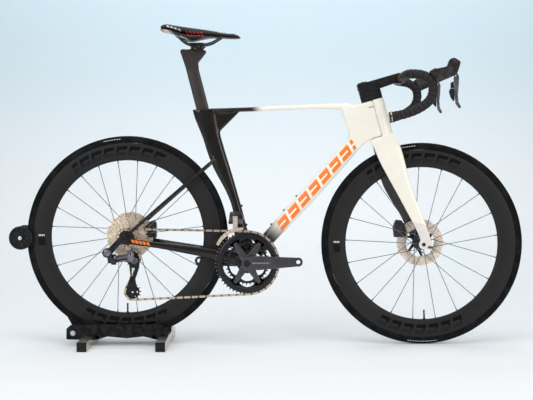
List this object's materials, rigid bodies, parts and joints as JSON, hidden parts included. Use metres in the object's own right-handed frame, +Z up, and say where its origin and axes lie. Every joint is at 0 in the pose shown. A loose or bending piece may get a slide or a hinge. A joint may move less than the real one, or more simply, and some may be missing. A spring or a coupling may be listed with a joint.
{
  "type": "bicycle on stand",
  "caption": "Road racing bicycle with deep rims, disc brakes, drop bar and electronic derailleurs, held upright by a low floor stand around its rear wheel.",
  "frame": {"origin": "on the floor, under the middle of the overall length and in the bicycle's mid plane", "axes": "+X towards the front wheel, +Y to the rider's left, +Z up"},
  "size_m": [1.7278, 0.431, 1.0776],
  "materials": {
    "black_steel": "semi-gloss",
    "bare_steel": "satin",
    "black_plastic": "matte",
    "cream_gloss": "gloss lacquer",
    "dark_carbon": "gloss lacquer",
    "rim_carbon": "satin",
    "tyre_rubber": "matte",
    "dark_alloy": "gloss anodised",
    "warm_steel": "satin",
    "ring_alloy": "satin anodised",
    "hood_rubber": "matte",
    "tape": "matte",
    "saddle_cover": "matte"
  },
  "bodies": {
    "stand": {"stand_plates": "black_steel", "stand_feet": "bare_steel", "stand_foot_caps": "black_plastic", "stand_rods": "bare_steel"},
    "stand_arm": {"stand_arm": "black_steel"},
    "stand_roller": {"stand_roller": "black_plastic"},
    "bike_frame": {"head_section": "cream_gloss", "top_tube": "dark_carbon", "down_tube": "cream_gloss", "seat_tube": "dark_carbon", "bottom_bracket": "dark_carbon", "chainstays": "dark_carbon", "seatstays": "dark_carbon", "rear_brake_caliper": "dark_alloy", "rear_axle": "dark_alloy", "front_derailleur_body": "dark_alloy", "derailleur_b_knuckle": "dark_alloy", "chain_upper": "warm_steel", "chain_lower": "warm_steel"},
    "seatpost": {"seatpost": "dark_carbon"},
    "saddle": {"saddle_clamp": "dark_alloy", "saddle_rails": "bare_steel", "saddle_shell": "black_plastic", "saddle_pad": "saddle_cover"},
    "steering": {"fork": "cream_gloss", "front_axle": "dark_alloy", "front_brake_caliper": "dark_alloy", "headset_spacers": "dark_alloy", "stem": "dark_alloy", "handlebar": "dark_alloy", "bar_tape": "tape", "lever_hoods": "hood_rubber"},
    "right_brake_lever": {"right_brake_lever": "dark_carbon"},
    "left_brake_lever": {"left_brake_lever": "dark_carbon"},
    "right_upper_shift_button": {"right_upper_shift_button": "black_plastic"},
    "right_lower_shift_button": {"right_lower_shift_button": "black_plastic"},
    "left_upper_shift_button": {"left_upper_shift_button": "black_plastic"},
    "left_lower_shift_button": {"left_lower_shift_button": "black_plastic"},
    "front_wheel": {"front_tyre": "tyre_rubber", "front_rim": "rim_carbon", "front_spokes": "bare_steel", "front_hub": "dark_alloy", "front_rotor": "warm_steel"},
    "rear_wheel": {"rear_tyre": "tyre_rubber", "rear_rim": "rim_carbon", "rear_spokes": "bare_steel", "rear_hub": "dark_alloy", "rear_rotor": "warm_steel"},
    "cassette": {"cassette": "warm_steel"},
    "crankset": {"chainrings": "ring_alloy", "right_crank": "dark_alloy", "left_crank": "dark_alloy"},
    "front_derailleur_cage": {"front_derailleur_cage": "warm_steel"},
    "derailleur_outer_link": {"derailleur_outer_link": "dark_alloy"},
    "derailleur_inner_link": {"derailleur_inner_link": "dark_alloy"},
    "derailleur_p_knuckle": {"derailleur_p_knuckle": "dark_alloy"},
    "derailleur_cage": {"derailleur_cage": "dark_alloy", "chain_pulley_wrap": "warm_steel"},
    "guide_pulley": {"guide_pulley": "black_plastic"},
    "tension_pulley": {"tension_pulley": "black_plastic"}
  },
  "joints": [
    {"name": "stand_arm_swing", "type": "hinge", "parent": "stand", "child": "stand_arm", "pos_m": [-0.6447, 0, 0.0438], "axis": [0, -1, 0], "range_deg": [0, 25], "stiffness_Nm_per_rad": 3, "springref_deg": -34.38},
    {"name": "stand_roller_spin", "type": "hinge", "parent": "stand_arm", "child": "stand_roller", "pos_m": [-0.82439, 0, 0.3594], "axis": [0, 1, 0], "continuous": true},
    {"name": "bike_lift_off", "type": "slide", "parent": "stand", "child": "bike_frame", "axis": [0, 0, 1], "range_m": [0, 0.4]},
    {"name": "seatpost_height", "type": "slide", "parent": "bike_frame", "child": "seatpost", "axis": [-0.2504, 0, 0.9681], "range_m": [-0.04, 0.05]},
    {"name": "saddle_tilt", "type": "hinge", "parent": "seatpost", "child": "saddle", "pos_m": [-0.24, 0, 0.998], "axis": [0, 1, 0], "range_deg": [-8, 8]},
    {"name": "steering", "type": "hinge", "parent": "bike_frame", "child": "steering", "pos_m": [0.36077, 0, 0.76111], "axis": [-0.2672, 0, 0.9636], "range_deg": [-45, 45]},
    {"name": "front_wheel_spin", "type": "hinge", "parent": "steering", "child": "front_wheel", "pos_m": [0.52439, 0, 0.3395], "axis": [0, 1, 0], "continuous": true},
    {"name": "rear_wheel_spin", "type": "hinge", "parent": "bike_frame", "child": "rear_wheel", "pos_m": [-0.46961, 0, 0.3625], "axis": [0, 1, 0], "continuous": true},
    {"name": "crank_spin", "type": "hinge", "parent": "bike_frame", "child": "crankset", "pos_m": [-0.06341, 0, 0.2778], "axis": [0, 1, 0], "continuous": true},
    {"name": "cassette_spin", "type": "hinge", "parent": "bike_frame", "child": "cassette", "pos_m": [-0.46961, 0, 0.3625], "axis": [0, 1, 0], "continuous": true},
    {"name": "front_derailleur_shift", "type": "slide", "parent": "bike_frame", "child": "front_derailleur_cage", "axis": [0, 1, 0], "range_m": [0, 0.007], "deforming": ["chain_upper"]},
    {"name": "derailleur_shift", "type": "hinge", "parent": "bike_frame", "child": "derailleur_outer_link", "pos_m": [-0.5, -0.092, 0.298], "axis": [0, 0.7431, 0.6691], "range_deg": [-18, 46], "deforming": ["chain_lower"]},
    {"name": "derailleur_inner_link_turn", "type": "hinge", "parent": "bike_frame", "child": "derailleur_inner_link", "pos_m": [-0.5, -0.08263, 0.2876], "axis": [0, 0.7431, 0.6691], "range_deg": [-18, 46]},
    {"name": "derailleur_p_knuckle_turn", "type": "hinge", "parent": "derailleur_outer_link", "child": "derailleur_p_knuckle", "pos_m": [-0.44957, -0.10048, 0.30741], "axis": [0, 0.7431, 0.6691], "range_deg": [-46, 18]},
    {"name": "derailleur_cage_swing", "type": "hinge", "parent": "derailleur_p_knuckle", "child": "derailleur_cage", "pos_m": [-0.4359, -0.0514, 0.2876], "axis": [0, 1, 0], "range_deg": [-35, 12]},
    {"name": "guide_pulley_spin", "type": "hinge", "parent": "derailleur_cage", "child": "guide_pulley", "pos_m": [-0.446, -0.0514, 0.2936], "axis": [0, 1, 0], "continuous": true},
    {"name": "tension_pulley_spin", "type": "hinge", "parent": "derailleur_cage", "child": "tension_pulley", "pos_m": [-0.4448, -0.0514, 0.1813], "axis": [0, 1, 0], "continuous": true},
    {"name": "right_brake_pull", "type": "hinge", "parent": "steering", "child": "right_brake_lever", "pos_m": [0.607, -0.198, 0.89], "axis": [0, 1, 0], "range_deg": [0, 20], "stiffness_Nm_per_rad": 1, "springref_deg": -14.32},
    {"name": "right_upper_shift_press", "type": "hinge", "parent": "right_brake_lever", "child": "right_upper_shift_button", "pos_m": [0.602, -0.198, 0.862], "axis": [0, 0, 1], "range_deg": [0, 6], "stiffness_Nm_per_rad": 0.2, "springref_deg": -17.19},
    {"name": "right_lower_shift_press", "type": "hinge", "parent": "right_brake_lever", "child": "right_lower_shift_button", "pos_m": [0.602, -0.198, 0.828], "axis": [0, 0, 1], "range_deg": [0, 6], "stiffness_Nm_per_rad": 0.2, "springref_deg": -17.19},
    {"name": "left_brake_pull", "type": "hinge", "parent": "steering", "child": "left_brake_lever", "pos_m": [0.607, 0.198, 0.89], "axis": [0, 1, 0], "range_deg": [0, 20], "stiffness_Nm_per_rad": 1, "springref_deg": -14.32},
    {"name": "left_upper_shift_press", "type": "hinge", "parent": "left_brake_lever", "child": "left_upper_shift_button", "pos_m": [0.602, 0.198, 0.862], "axis": [0, 0, -1], "range_deg": [0, 6], "stiffness_Nm_per_rad": 0.2, "springref_deg": -17.19},
    {"name": "left_lower_shift_press", "type": "hinge", "parent": "left_brake_lever", "child": "left_lower_shift_button", "pos_m": [0.602, 0.198, 0.828], "axis": [0, 0, -1], "range_deg": [0, 6], "stiffness_Nm_per_rad": 0.2, "springref_deg": -17.19}
  ],
  "couplings": [
    {"joint": "cassette_spin", "follows": "crank_spin", "ratio": 3.7143},
    {"joint": "guide_pulley_spin", "follows": "crank_spin", "ratio": -4},
    {"joint": "tension_pulley_spin", "follows": "crank_spin", "ratio": 4},
    {"joint": "derailleur_inner_link_turn", "follows": "derailleur_shift", "ratio": 1},
    {"joint": "derailleur_p_knuckle_turn", "follows": "derailleur_shift", "ratio": -1}
  ]
}
